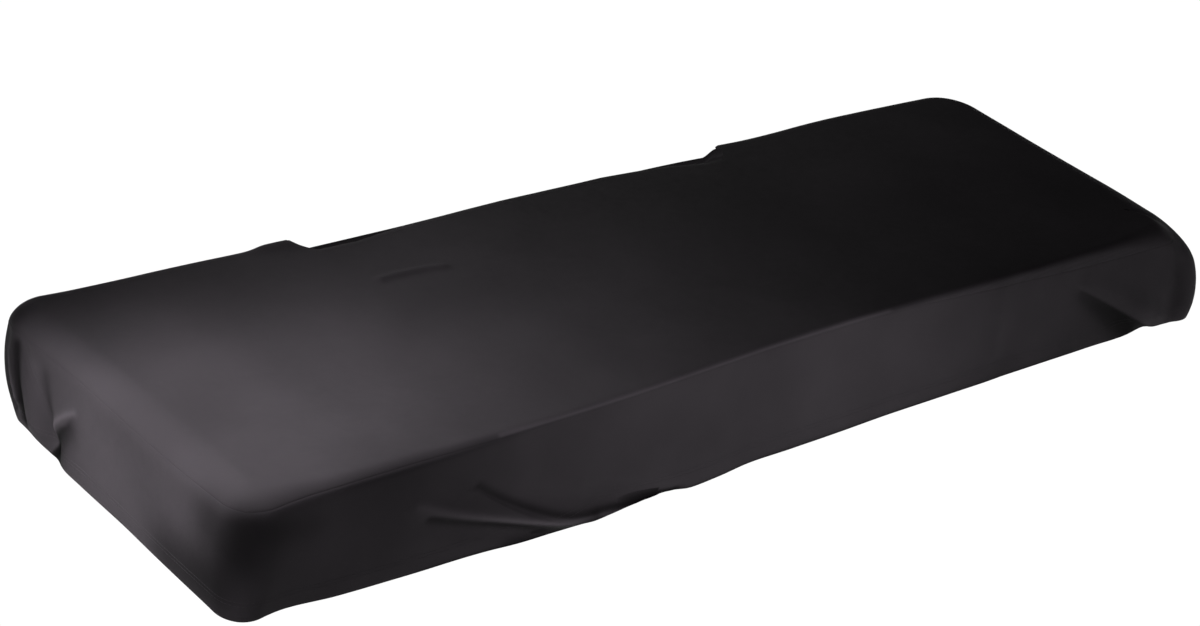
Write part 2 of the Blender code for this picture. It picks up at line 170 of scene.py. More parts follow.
# Folds of the skirt, in millimetres. Each runs from one place and height to another, bowed up by bow at its
# middle. It pushes the cloth out, or in where out is negative, over half_width each way, and both change
# evenly from its start to its end.
Fold = namedtuple("Fold", "side at height to_at to_height bow out to_out half_width to_half_width")
FOLDS = (
    # The swag that sinks to the hem on the left half of the front, with the hollows over and under it.
    Fold("front", -352, 53, -150, -9, -2, 0.8, 5.5, 9, 9),
    Fold("front", -300, 52, -112, -2, -2, -0.8, -4.0, 9, 9),
    Fold("front", -348, 40, -206, -8, -2, -0.5, -4.5, 8, 9),
    # The pinched fold near the right end: a recess that widens to the hem, and the flap that laps over it.
    Fold("front", 342, 57, 436, -5, -1, -1.5, -4.5, 6, 13),
    Fold("front", 350, 64, 466, 4, 0, 1.5, 4.5, 9, 11),
    Fold("front", 259, 76, 256, 20, 0, -0.8, -1.8, 13, 15),
    # The gathers at the rear of the left end, and the rounded fold beside them.
    Fold("left", 126, 76, 84, 13, 3, -1.5, -6.5, 7, 9),
    Fold("left", 108, 62, 106, 14, 0, 1.0, 3.0, 10, 11),
    Fold("left", 140, 72, 135, 16, 0, -2.0, -4.0, 7, 7),
    Fold("left", 70, 40, 60, 12, 4, 0.4, 1.6, 10, 12),
    # Slack on the ends and the rear, as cloth hangs where nothing pulls it straight.
    Fold("right", -66, 66, -92, 8, 4, -0.5, -4.5, 12, 16),
    Fold("right", 92, 66, 104, 8, -3, -0.5, -4.5, 12, 15),
    Fold("rear", 390, 66, 412, 8, 4, -0.5, -4.0, 14, 17),
    Fold("rear", 70, 56, 20, 8, -4, -0.5, -3.0, 18, 24),
    Fold("rear", -398, 66, -424, 8, -4, -0.5, -4.5, 14, 16),
)

# Rises and hollows of the top, in millimetres, from one place to another, bowed, up by rise over
# half_width.
Relief = namedtuple("Relief", "x y to_x to_y bow rise half_width")
RELIEFS = (
    # Cloth bunched at the left end of the slot.
    Relief(-279, 144, -263, 141, 0, 3.2, 10),
    # The stretched middle sags a little.
    Relief(-380, -30, 380, -40, 0, -2.4, 62),
    # A faint crease on the top, left of the middle.
    Relief(-230, 64, -174, 61, 2, 2.0, 4.5),
)

# Creases finer than the folds, in millimetres. over and under are the half widths on the two sides of the
# line, so that one side can be crisp.
Crease = namedtuple("Crease", "side at height to_at to_height bow out to_out over to_over under to_under")
CREASES = (
    # The swag's crease, its bright edge below, and the hollow under that.
    Crease("front", -300, 56, -126, 2, -19, -1.2, -2.0, 8, 8, 1.5, 1.5),
    Crease("front", -350, 57, -134, -2, -13, 1.0, 1.8, 4, 3, 5, 4),
    Crease("front", -339, 43, -200, -2, -4, -1.0, -1.2, 3, 4, 7, 8),
    # The pinched fold's crisp border.
    Crease("front", 340, 60, 442, 3, 0, -0.6, -2.5, 1.4, 1.6, 6, 18),
    # The soft upright fold beside it.
    Crease("front", 238, 78, 241, 28, 0, 0.6, 1.0, 7, 8, 7, 8),
    # The gathers of the left end: the hooked ridge and the pocket under it, then going rearward a soft
    # valley, the crisp line beyond the bright panel, and the sliver beside that.
    Crease("left", 83, 18, 52, 54, 4, 1.6, 0.5, 2.5, 5, 3, 5),
    Crease("left", 77, 8, 60, 38, 3, -3.0, -0.6, 2.5, 2.5, 8, 7),
    Crease("left", 96, 66, 84, 24, 2, -0.9, -2.4, 7, 7, 6, 6),
    Crease("left", 126, 68, 118, 14, 1, -1.0, -2.8, 2.5, 3, 4, 5),
    Crease("left", 136, 60, 126, 26, 0, 1.2, 2.0, 3, 3.5, 3, 3.5),
    # A small pucker at the front left corner.
    Crease("front", -500, 89, -482, 70, 0, 0.9, 0.5, 2.2, 2.2, 3, 3),
)

# Painted light in the cloth's colour, as rows like the creases: a painted highlight on ridges and edges,
# above 0, and painted shade in folds, recesses and where the cloth turns from the lamps, below 0.
PAINTED_LIGHT_ROWS = (
    # A painted highlight along the top edge of the front.
    Crease("front", -285, 92, 110, 92, 0, 1.3, 1.0, 1.2, 1.2, 1.2, 1.2),
    # The swag: painted shade in its crease, a painted highlight on its ridge, painted shade in the hollow
    # under that and on the underside at the hem, and a painted lighter patch above.
    Crease("front", -299, 56, -108, 2, -20, -0.9, -2.2, 4, 2, 1.3, 1.1),
    Crease("front", -350, 57, -116, -3, -14, 0.6, 2.3, 4, 1.4, 5, 2.6),
    Crease("front", -339, 43, -177, -4, -4, -1.4, -2.2, 2.5, 3, 3.5, 5),
    Crease("front", -268, 1, -190, 1.5, 0, -0.5, -1.4, 6, 5, 4, 4),
    Crease("front", -262, 90, -258, 42, 0, 0.2, 0.1, 16, 16, 14, 14),
    # Painted shade in the recess of the pinched fold, a painted highlight on its border and painted shade on
    # the corner beyond it.
    Crease("front", 340, 60, 442, 3, 0, -0.5, -4.3, 1.0, 1.0, 9, 22),
    Crease("front", 350, 67, 452, 10, 0, 0.15, 0.15, 8, 8, 5, 5),
    Crease("front", 460, 84, 474, 24, 0, -0.4, -0.4, 7, 7, 7, 7),
    # Painted shade on the hem's own edge, which turns away from the light.
    Crease("front", -345, 0, -20, 0, 0, -1.2, -1.0, 2, 2, 2, 2),
    Crease("front", -20, 1, 340, 2, 0, -1.0, -0.8, 2, 2, 2, 2),
    # Painted shade and highlight on the left end, from its rear corner forward: the corner, the lit sliver,
    # the dark line, the valley, the pocket in deep painted shade with its lit hooked ridge, and the front
    # corner.
    Crease("left", 142, 86, 138, 24, 0, -1.3, -1.2, 13, 9, 11, 8),
    Crease("left", 136, 60, 126, 26, 0, 1.2, 1.4, 2.5, 2.5, 2.5, 2.5),
    Crease("left", 126, 70, 118, 12, 1, -1.8, -4.0, 3, 3, 4, 4.5),
    Crease("left", 104, 62, 100, 14, 0, 0.4, 0.4, 8, 8, 8, 8),
    Crease("left", 90, 62, 82, 24, 1, -0.6, -1.3, 5, 5, 5, 5),
    Crease("left", 79, 8, 60, 38, 3, -4.5, -1.5, 2.0, 2.0, 13, 10),
    Crease("left", 83, 19, 52, 54, 4, 1.2, 0.6, 2, 3, 2, 3),
    Crease("left", -74, 12, -124, 20, 0, -1.4, -2.0, 22, 22, 20, 22),
    Crease("left", -122, 62, -144, 54, 0, -1.2, -2.2, 18, 26, 22, 22),
    Crease("front", -494, 76, -440, 65, 0, -1.0, -0.4, 10, 10, 14, 12),
)

# Where the skirt's rows crowd together, by place and height in millimetres, and by how much.
RowCrowd = namedtuple("RowCrowd", "side at height weight")
ROW_CROWDS = (
    RowCrowd("front", -410, 56, 0.0),
    RowCrowd("front", -345, 56, 0.65),
    RowCrowd("front", -295, 48, 0.65),
    RowCrowd("front", -250, 26, 0.65),
    RowCrowd("front", -214, 13, 0.65),
    RowCrowd("front", -160, 5, 0.65),
    RowCrowd("front", -100, 2, 0.6),
    RowCrowd("front", -40, 2, 0.0),
    RowCrowd("front", 290, 62, 0.0),
    RowCrowd("front", 335, 60, 0.6),
    RowCrowd("front", 442, 4, 0.6),
    RowCrowd("front", 480, 4, 0.0),
)

# Slight unevenness of the stretched cloth: wavelengths along and across in metres, phase and height.
Wave = namedtuple("Wave", "along across phase height")
WAVES = (
    Wave(0.310, 0.190, 0.3, 0.00022),
    Wave(0.137, 0.260, 1.7, 0.00014),
    Wave(0.083, 0.071, 2.9, 0.00007),
    Wave(0.211, 0.097, 4.1, 0.00012),
    Wave(0.047, 0.113, 5.3, 0.00003),
)

# The step over which the cloth's slope is measured.
SLOPE_STEP = 0.0004


def unevenness(u, v):
    """A small smooth rise and fall over the cloth."""
    total = np.zeros_like(u)
    for wave in WAVES:
        along = np.sin(2 * pi * u / wave.along + wave.phase)
        total += wave.height * along * np.sin(2 * pi * v / wave.across + wave.phase / 2)
    return total


def rim_place(side, at):
    """Metres round the plain box from its front left corner, for a place on one side."""
    start = {"front": HALF_LENGTH + at, "right": LENGTH + HALF_DEPTH + at}
    start["rear"] = LENGTH + DEPTH + HALF_LENGTH - at
    start["left"] = 2 * LENGTH + DEPTH + HALF_DEPTH - at
    return start[side]


def round_the_rim(places, values, at):
    """A closed smooth curve through the values at the places, read at at."""
    order = np.argsort(places)
    x = np.asarray(places, float)[order]
    y = np.asarray(values, float)[order]
    x = np.concatenate([x[-2:] - RIM_LENGTH, x, x[:2] + RIM_LENGTH])
    y = np.concatenate([y[-2:], y, y[:2]])
    slope = np.gradient(y, x)
    at = np.mod(at, RIM_LENGTH)
    i = np.clip(np.searchsorted(x, at, side="right") - 1, 0, len(x) - 2)
    step = x[i + 1] - x[i]
    t = (at - x[i]) / step
    rise = t * t * (3 - 2 * t)
    bend = slope[i] * t * (1 - t) ** 2 - slope[i + 1] * t * t * (1 - t)
    return y[i] * (1 - rise) + y[i + 1] * rise + step * bend


def rim_values(s):
    """The columns of the rim table at s, in metres."""
    places = [rim_place(row.side, row.at * MM) for row in RIM]
    columns = Rim._fields[2:]
    found = {c: round_the_rim(places, [getattr(row, c) * MM for row in RIM], s) for c in columns}
    found["hem_up"] = np.maximum(found["hem_up"], 0.0)
    return found


def outline(s, share):
    """The plan point and outward direction at s, a share of the way down the box."""
    s = np.mod(s, RIM_LENGTH)
    ends = np.array([0.0, LENGTH, LENGTH + DEPTH, 2 * LENGTH + DEPTH, RIM_LENGTH])
    starts = np.array([[-1, -1], [1, -1], [1, 1], [-1, 1]]) * [HALF_LENGTH, HALF_DEPTH]
    runs = np.array([[1, 0], [0, 1], [-1, 0], [0, -1]], float)
    side = np.clip(np.searchsorted(ends, s, side="right") - 1, 0, 3)
    point = starts[side] + runs[side] * (s - ends[side])[:, None]
    out = np.stack([runs[side][:, 1], -runs[side][:, 0]], 1)
    for k, corner in enumerate(CORNERS):
        radius = corner.top + (corner.hem - corner.top) * share
        away = np.mod(s - ends[k] + RIM_LENGTH / 2, RIM_LENGTH) - RIM_LENGTH / 2
        near = np.abs(away) < radius
        radius = radius[near]
        angle = pi / 4 * away[near] / radius + pi / 2 * k - 3 * pi / 4
        ray = np.stack([np.cos(angle), np.sin(angle)], 1)
        centre = starts[k] - np.sign(starts[k]) * radius[:, None]
        point[near], out[near] = centre + radius[:, None] * ray, ray
    return point, out


def turned(run, radius):
    """The angle turned at a run from the start of the turn, and the drop below the top."""
    turn = np.clip(run / radius, 0, pi / 2)
    return turn, radius * (1 - np.cos(turn)) + np.maximum(run - radius * pi / 2, 0)


def ridge(x, y, line, lifts, over, under):
    """A soft ridge along a bowed line. Its lift and its half widths to the left, over, and to the right,
    under, change evenly from one end to the other."""
    x0, y0, x1, y1, bow = line
    length = np.hypot(x1 - x0, y1 - y0)
    along = ((x - x0) * (x1 - x0) + (y - y0) * (y1 - y0)) / length
    beside = ((y - y0) * (x1 - x0) - (x - x0) * (y1 - y0)) / length
    share = np.clip(along / length, 0, 1)
    past = along - share * length
    beside = beside - bow * 4 * share * (1 - share)
    lift = lifts[0] + (lifts[1] - lifts[0]) * share
    left = over[0] + (over[1] - over[0]) * share
    right = under[0] + (under[1] - under[0]) * share
    across = beside / np.where(beside > 0, left, right)
    return lift * np.exp(-(across**2) - (past / np.maximum(left, right)) ** 2)


def skirt_line(s, z, row, over, under):
    """One fold or crease of the skirt, with its half widths over and under its line in millimetres."""
    start, end = rim_place(row.side, row.at * MM), rim_place(row.side, row.to_at * MM)
    sign = 1 if end >= start else -1
    line = (start, row.height * MM, end, row.to_height * MM, sign * row.bow * MM)
    near = start + np.mod(s - start + RIM_LENGTH / 2, RIM_LENGTH) - RIM_LENGTH / 2
    over, under = (over[0] * MM, over[1] * MM), (under[0] * MM, under[1] * MM)
    if sign < 0:
        over, under = under, over
    return ridge(near, z, line, (row.out * MM, row.to_out * MM), over, under)


def creased(s, z, rows):
    """The sum of a table's creases at s and height z."""
    total = np.zeros_like(s)
    for row in rows:
        total += skirt_line(s, z, row, (row.over, row.to_over), (row.under, row.to_under))
    return total


def fold_out(s, z):
    """How far the folds and the finer creases push the skirt out at s and height z."""
    total = creased(s, z, CREASES)
    for fold in FOLDS:
        widths = (fold.half_width, fold.to_half_width)
        total += skirt_line(s, z, fold, widths, widths)
    return total


def painted_light_at(s, run):
    """How much painted highlight, above 0, or painted shade, below 0, the cloth's colour carries at s and
    run.
    """
    radius = rim_values(s)["radius"]
    turn, drop = turned(run, radius)
    return creased(s, HEIGHT - drop, PAINTED_LIGHT_ROWS) / MM * np.sin(turn)


def relief_up(x, y):
    """How far the reliefs lift the top at x, y."""
    total = np.zeros_like(x)
    for row in RELIEFS:
        line = (row.x * MM, row.y * MM, row.to_x * MM, row.to_y * MM, row.bow * MM)
        widths = (row.half_width * MM,) * 2
        total += ridge(x, y, line, (row.rise * MM,) * 2, widths, widths)
    return total


def rear_x(s):
    """x along the rear side. Elsewhere round the rim it lies past the rear's ends."""
    return HALF_LENGTH - (np.mod(s, RIM_LENGTH) - LENGTH - DEPTH)


def slot_share(s):
    """0 where the rear seam is sewn, 1 where the slot is fully open."""
    x = rear_x(s)
    share = np.clip(np.minimum(x - SLOT_FROM, SLOT_TO - x) / SLOT_END, 0, 1)
    return share * share * (3 - 2 * share)


def down_to(drop, radius):
    """How far the cloth runs from the start of the turn to a drop below the top."""
    return radius * np.arccos(1 - np.clip(drop / radius, 0, 1)) + np.maximum(drop - radius, 0)


def panel_end(s):
    """Where the top panel ends, as a run from the start of the turn: at the seam, or at the slot's lip."""
    rim = rim_values(s)
    inset = np.interp(rear_x(s), [row.at * MM for row in LIP], [row.inset * MM for row in LIP])
    seam, lip = down_to(rim["seam"], rim["radius"]), rim["radius"] - rim["edge"] - inset
    return seam + (lip - seam) * slot_share(s)


def skirt_start(s):
    """Where the skirt starts: at the seam, or at the slot's rear side."""
    rim = rim_values(s)
    seam = down_to(rim["seam"], rim["radius"]) - SEAM_PINCH
    rear = down_to(np.full_like(s, SLOT_REAR_DROP), rim["radius"])
    return seam + (rear - seam) * slot_share(s)


def skirt_end(s):
    """Where the skirt ends, at the hem."""
    rim = rim_values(s)
    return down_to(HEIGHT - rim["hem_up"], rim["radius"])


def inner_point(s):
    """The plan point on the sharp rectangle round the top's middle grid that s runs in to."""
    s = np.mod(s, RIM_LENGTH)
    ends = np.array([0.0, LENGTH, LENGTH + DEPTH, 2 * LENGTH + DEPTH])
    corners = np.array([[-1, -1], [1, -1], [1, 1], [-1, 1]], float)
    corners *= [HALF_LENGTH - GRID_MARGIN, HALF_DEPTH - GRID_MARGIN]
    side = np.clip(np.searchsorted(ends, s, side="right") - 1, 0, 3)
    share = ((s - ends[side]) / np.array([LENGTH, DEPTH, LENGTH, DEPTH])[side])[:, None]
    return corners[side] * (1 - share) + corners[(side + 1) % 4] * share


def cloth(s, run):
    """The cloth's outer face at s round the rim, a run in metres past the start of the turn."""
    rim = rim_values(s)
    radius = rim["radius"]
    turn, drop = turned(run, radius)
    share = np.clip(drop / (HEIGHT - rim["hem_up"]), 0, 1)
    out = rim["edge"] * (1 - share) * (1 - 2 * share) + rim["middle"] * 4 * share * (1 - share)
    out += rim["hem"] * share * (2 * share - 1)
    height = HEIGHT - drop
    out += (fold_out(s, height) + unevenness(s, height)) * np.sin(turn) ** 2
    point, normal = outline(s, share)
    plan = point + normal * (out - radius * (1 - np.sin(turn)))[:, None]
    inward = inner_point(s) - plan
    plan = plan + inward * (np.maximum(-run, 0) / np.linalg.norm(inward, axis=1))[:, None]
    height = height + (relief_up(plan[:, 0], plan[:, 1]) + unevenness(plan[:, 0], plan[:, 1])) * np.cos(turn)
    lip = np.clip(1 - np.abs(panel_end(s) - run) / LIP_TURN_LENGTH, 0, 1) * slot_share(s)
    return np.column_stack([plan, height - LIP_TURN_DOWN * lip * lip])


def normals(s, run):
    """The cloth's outward direction at s and run."""
    round_it = cloth(s + SLOPE_STEP, run) - cloth(s - SLOPE_STEP, run)
    down_it = cloth(s, run + SLOPE_STEP) - cloth(s, run - SLOPE_STEP)
    found = np.cross(down_it, round_it)
    return found / np.linalg.norm(found, axis=1)[:, None]


def placed(points):
    """Points of the plain box's frame in the cover's own."""
    return points - np.array([MIDDLE_X, MIDDLE_Y, 0.0])


def on_floor(points):
    """The points with none under the floor."""
    return np.column_stack([points[:, :2], np.maximum(points[:, 2], 0.0)])


def spread(half, count, crowds):
    """count + 1 places from -half to half, closer together at each crowd."""
    fine = np.linspace(-half, half, CROWD_STEPS + 1)
    weight = np.ones_like(fine)
    for crowd in crowds:
        weight += crowd.weight * np.exp(-(((fine - crowd.at) / crowd.width) ** 2))
    total = np.concatenate([[0], np.cumsum((weight[1:] + weight[:-1]) / 2)])
    return np.interp(np.linspace(0, total[-1], count + 1), total, fine)


def row_shares(loop, count):
    """The skirt's rows as shares of the way down, one array round the rim each, crowded at the creases."""
    places = [rim_place(row.side, row.at * MM) for row in ROW_CROWDS]
    centre = np.interp(loop, places, [1 - row.height * MM / HEIGHT for row in ROW_CROWDS])
    weight = np.interp(loop, places, [row.weight for row in ROW_CROWDS])
    for share in np.linspace(0, 1, count):
        yield share - weight * (np.sin(2 * pi * (share - centre)) + np.sin(2 * pi * centre)) / (2 * pi)


def upright_lines():
    """The cloth's upright lines: by x on the long sides, by y on the ends, and by s once round the rim."""
    columns = spread(HALF_LENGTH, COLUMNS, CROWDS)
    ends = spread(HALF_DEPTH, END_COLUMNS, END_CROWDS)
    sides = [
        [rim_place("front", x) for x in columns[:-1]],
        [rim_place("right", y) for y in ends[:-1]],
        [rim_place("rear", x) for x in columns[:0:-1]],
        [rim_place("left", y) for y in ends[:0:-1]],
    ]
    return columns, ends, np.concatenate(sides)


def turned_edge(edge, radius, back, sign):
    """Rows of an edge turned under, from its raw end to the outer face: each is a run, an outer and an inner
    depth. sign is 1 where the edge ends the cloth going down and -1 where it starts it."""
    rows = []
    start = edge - sign * radius
    for t in np.linspace(back, 0, BACK_ROWS, endpoint=False):
        rows.append((start - sign * t, 2 * radius, start - sign * t, 2 * radius - CLOTH))
    for turn in np.linspace(pi, 0, TURN_ROWS, endpoint=False):
        small = radius - CLOTH
        outer_run = start + sign * radius * np.sin(turn)
        inner_run = start + sign * small * np.sin(turn)
        rows.append((outer_run, radius * (1 - np.cos(turn)), inner_run, radius - small * np.cos(turn)))
    return rows


def sheet_rows(loop, rows):
    """The two faces of a sheet, ring by ring, the length down the cloth to each ring and its painted light.
    """
    over, under, cut, painted_light = [], [], [], []
    length = 0.0
    last = None
    for outer_run, outer_depth, inner_run, inner_depth in rows:
        ring = on_floor(cloth(loop, outer_run) - normals(loop, outer_run) * outer_depth)
        over.append(placed(ring))
        under.append(placed(on_floor(cloth(loop, inner_run) - normals(loop, inner_run) * inner_depth)))
        if last is not None:
            length = length + np.linalg.norm(ring - last, axis=1)
        last = ring
        cut.append(length + np.zeros(len(loop)))
        painted_light.append(painted_light_at(loop, outer_run))
    return over, under, cut, painted_light


def grid_quads(first, wide, deep):
    """Quads of a grid, deep rows of wide points from the index first on, and its border's indices."""
    index = first + np.arange(wide * deep).reshape(deep, wide)
    corners = (index[:-1, :-1], index[:-1, 1:], index[1:, 1:], index[1:, :-1])
    quads = np.stack(corners, 2).reshape(-1, 4)
    border = np.concatenate([index[0, :-1], index[:-1, -1], index[-1, :0:-1], index[:0:-1, 0]])
    return quads, border


def ring_quads(rings, count):
    """Quads between neighbouring rings of count points each."""
    ring = np.arange(rings - 1)[:, None] * count
    here, ahead = ring + np.arange(count), ring + np.roll(np.arange(count), -1)
    return np.stack([here, ahead, ahead + count, here + count], 2).reshape(-1, 4)


def closed_sheet(name, over, under, uv, painted_light, quads, edge_rings):
    """One closed mesh of a sheet's outer points, its inner points and the strips that join their edges."""
    count = len(over)
    faces = [quads, quads[:, ::-1] + count]
    for ring in edge_rings:
        ahead = np.roll(ring, -1)
        faces.append(np.stack([ahead, ring, ring + count, ahead + count], 1))
    mesh = bpy.data.meshes.new(name)
    mesh.from_pydata(np.concatenate([over, under]).tolist(), [], np.concatenate(faces).tolist())
    corner = np.zeros(len(mesh.loops), np.int32)
    mesh.loops.foreach_get("vertex_index", corner)
    spots = np.concatenate([uv, uv])[corner].reshape(-1, 4, 2)
    # Where a quad closes the loop, its last column runs on past the rim's length.
    closing = np.ptp(spots[:, :, 0], axis=1) > RIM_LENGTH / 2
    spots[closing, :, 0] += RIM_LENGTH * (spots[closing, :, 0] < RIM_LENGTH / 2)
    mesh.uv_layers.new(name="cut").data.foreach_set("uv", spots.astype(np.float32).ravel())
    # Each point's painted shade and highlight, kept as an attribute for the material.
    painted = mesh.attributes.new("painted_light", "FLOAT", "POINT")
    painted.data.foreach_set("value", np.tile(painted_light, 2).astype(np.float32))
    mesh.shade_smooth()
    made = bpy.data.objects.new(name, mesh)
    bpy.context.scene.collection.objects.link(made)
    return made


def make_top():
    """The top panel: its turned edge, rings inward from that, and a plain grid in the middle."""
    columns, ends, loop = upright_lines()
    count = len(loop)
    end = panel_end(loop)
    rows = turned_edge(end, EDGE_RADIUS, EDGE_BACK, 1)
    start = end - EDGE_RADIUS
    rim = rim_values(loop)
    reach = np.minimum(RINGS_REACH, RINGS_SHARE * (GRID_MARGIN + rim["edge"] - rim["radius"]))
    for share in np.linspace(0, 1, TOP_RINGS) ** RINGS_POWER:
        run = start - (reach + start) * share
        rows.append((run, 0.0, run, CLOTH))
    over, under, _, painted_light = sheet_rows(loop, rows)
    rings = len(over)
    x, y = np.meshgrid(columns * (1 - GRID_MARGIN / HALF_LENGTH), ends * (1 - GRID_MARGIN / HALF_DEPTH))
    x, y = x.ravel(), y.ravel()
    grid = placed(np.column_stack([x, y, HEIGHT + relief_up(x, y) + unevenness(x, y)]))
    quads, border = grid_quads(rings * count, len(columns), len(ends))
    last = (rings - 1) * count + np.arange(count)
    joined = np.stack([last, np.roll(last, -1), np.roll(border, -1), border], 1)
    over = np.concatenate(over + [grid])
    under = np.concatenate(under + [grid - [0, 0, CLOTH]])
    quads = np.concatenate([ring_quads(rings, count), joined, quads])
    painted_light = np.concatenate(painted_light + [np.zeros(len(grid))])
    return closed_sheet("top_cloth", over, under, over[:, :2], painted_light, quads, [np.arange(count)])


def make_skirt():
    """The skirt: its turned edge at the seam, rows down the four sides, and its hem."""
    _, _, loop = upright_lines()
    count = len(loop)
    start, end = skirt_start(loop), skirt_end(loop)
    rows = turned_edge(start, EDGE_RADIUS, EDGE_BACK, -1)
    low, high = start + EDGE_RADIUS, end - HEM_RADIUS
    for share in row_shares(loop, SKIRT_ROWS):
        run = low + (high - low) * share
        rows.append((run, 0.0, run, CLOTH))
    rows += turned_edge(end, HEM_RADIUS, HEM_BACK, 1)[::-1]
    over, under, cut, painted_light = sheet_rows(loop, rows)
    rings = len(over)
    uv = np.column_stack([np.tile(loop, rings), np.concatenate(cut)])
    quads = ring_quads(rings, count)[:, ::-1]
    edges = [np.arange(count)[::-1], (rings - 1) * count + np.arange(count)]
    painted_light = np.concatenate(painted_light)
    return closed_sheet("skirt_cloth", np.concatenate(over), np.concatenate(under), uv, painted_light, quads, edges)


# The knit: widths of its ribs and rows, how high its loops stand and how strongly, and the painted shade
# of its loops from low to high, darker in their hollows, which is mixed in by half.
RIB = RIM_LENGTH / 3600
LOOP_ROW = 0.00052
KNIT_DEPTH, KNIT_BUMP = 0.00012, 0.35
LOOP_SHADE = (0.5, 1.3)
LOOP_SHARE = 0.5
# The nap: how high its mottle stands and how strongly, and the roughness that the mottle varies between.
NAP_DEPTH, NAP_BUMP = 0.0006, 0.25
NAP_ROUGH = (0.57, 0.69)
# How many times lighter the colour is where the painted highlight is 1, and how much the cloth shines.
PAINTED_LIGHT_BASE = 2.0
CLOTH_SHINE = 0.02
# The thread: how closely its plies follow each other, how high they stand and how strongly, and its finish.
PLY_SCALE = 900.0
PLY_DEPTH, PLY_BUMP = 0.00005, 0.4
THREAD_ROUGH, THREAD_SHINE = 0.62, 0.1

# The cloth's colour where the nap lies flat and where it stands, and the thread's.
CLOTH_BLACK = (0.0148, 0.0131, 0.0149, 1.0)
CLOTH_WORN = (0.0208, 0.0184, 0.0209, 1.0)
THREAD_BLACK = (0.0150, 0.0132, 0.0150, 1.0)

# Settings of the nodes that mix colours.
BLEND = {"data_type": "RGBA"}
TIMES = {"data_type": "RGBA", "blend_type": "MULTIPLY"}


class Group:
    """Builds a shader or geometry node tree. A keyword names an input socket, or its number after an i."""

    def __init__(self, tree):
        self.tree = tree

    def add(self, kind, settings=None, **inputs):
        node = self.tree.nodes.new(kind)
        for name, value in (settings or {}).items():
            setattr(node, name, value)
        for name, value in inputs.items():
            self.feed(node, name.replace("_", " "), value)
        return node

    def feed(self, node, name, value):
        socket = node.inputs[int(name[1:])] if name[0] == "i" and name[1:].isdigit() else node.inputs[name]
        if isinstance(value, bpy.types.NodeSocket):
            self.tree.links.new(value, socket)
        else:
            socket.default_value = value

    def math(self, operation, first, second=0.0):
        return self.add("ShaderNodeMath", {"operation": operation}, i0=first, i1=second).outputs[0]


def new_group(name, inputs, outputs):
    """An empty shader node group with named sockets, its builder, and its input and output nodes."""
    tree = bpy.data.node_groups.new(name, "ShaderNodeTree")
    for socket, kind, value in inputs:
        made = tree.interface.new_socket(socket, in_out="INPUT", socket_type=kind)
        if value is not None:
            made.default_value = value
    for socket, kind in outputs:
        tree.interface.new_socket(socket, in_out="OUTPUT", socket_type=kind)
    group = Group(tree)
    return group, group.add("NodeGroupInput"), group.add("NodeGroupOutput")


def knit_group():
    """Fine jersey loops: ribs along the cloth, rows of little Vs across them, as a height and as painted
    shade.
    """
    inputs = [
        ("Vector", "NodeSocketVector", None),
        ("Rib", "NodeSocketFloat", 0.0007),
        ("Row", "NodeSocketFloat", 0.0005),
    ]
    outputs = [("Height", "NodeSocketFloat"), ("Shade", "NodeSocketFloat")]
    group, given, out = new_group("knit", inputs, outputs)
    place = group.add("ShaderNodeSeparateXYZ", Vector=given.outputs["Vector"])
    across = group.math("DIVIDE", place.outputs["X"], given.outputs["Rib"])
    along = group.math("DIVIDE", place.outputs["Y"], given.outputs["Row"])
    slant = group.math("PINGPONG", across, 0.5)
    wave = group.math("SINE", group.math("MULTIPLY", group.math("ADD", along, slant), 2 * pi))
    rib = group.math("SINE", group.math("MULTIPLY", slant, 2 * pi))
    height = group.math("ADD", group.math("MULTIPLY", wave, 0.3), group.math("MULTIPLY", rib, 0.7))
    group.feed(out, "Height", height)
    # Painted shade of the loops: darker where they lie low, lighter where they stand.
    group.feed(out, "Shade", group.math("ADD", group.math("MULTIPLY", height, 0.5), 0.5))
    return group.tree


def nap_group():
    """Soft patches where the nap lies another way, and a finer mottle, each from 0 to 1."""
    inputs = [
        ("Vector", "NodeSocketVector", None),
        ("Patch", "NodeSocketFloat", 9.0),
        ("Mottle", "NodeSocketFloat", 140.0),
    ]
    outputs = [("Patches", "NodeSocketFloat"), ("Mottled", "NodeSocketFloat")]
    group, given, out = new_group("nap", inputs, outputs)
    place = given.outputs["Vector"]
    patches = group.add("ShaderNodeTexNoise", Vector=place, Scale=given.outputs["Patch"], Detail=3.0)
    mottle = group.add("ShaderNodeTexNoise", Vector=place, Scale=given.outputs["Mottle"], Detail=2.0)
    clear = group.add("ShaderNodeMapRange", Value=patches.outputs["Fac"], From_Min=0.3, From_Max=0.7)
    group.feed(out, "Patches", clear.outputs[0])
    group.feed(out, "Mottled", mottle.outputs["Fac"])
    return group.tree


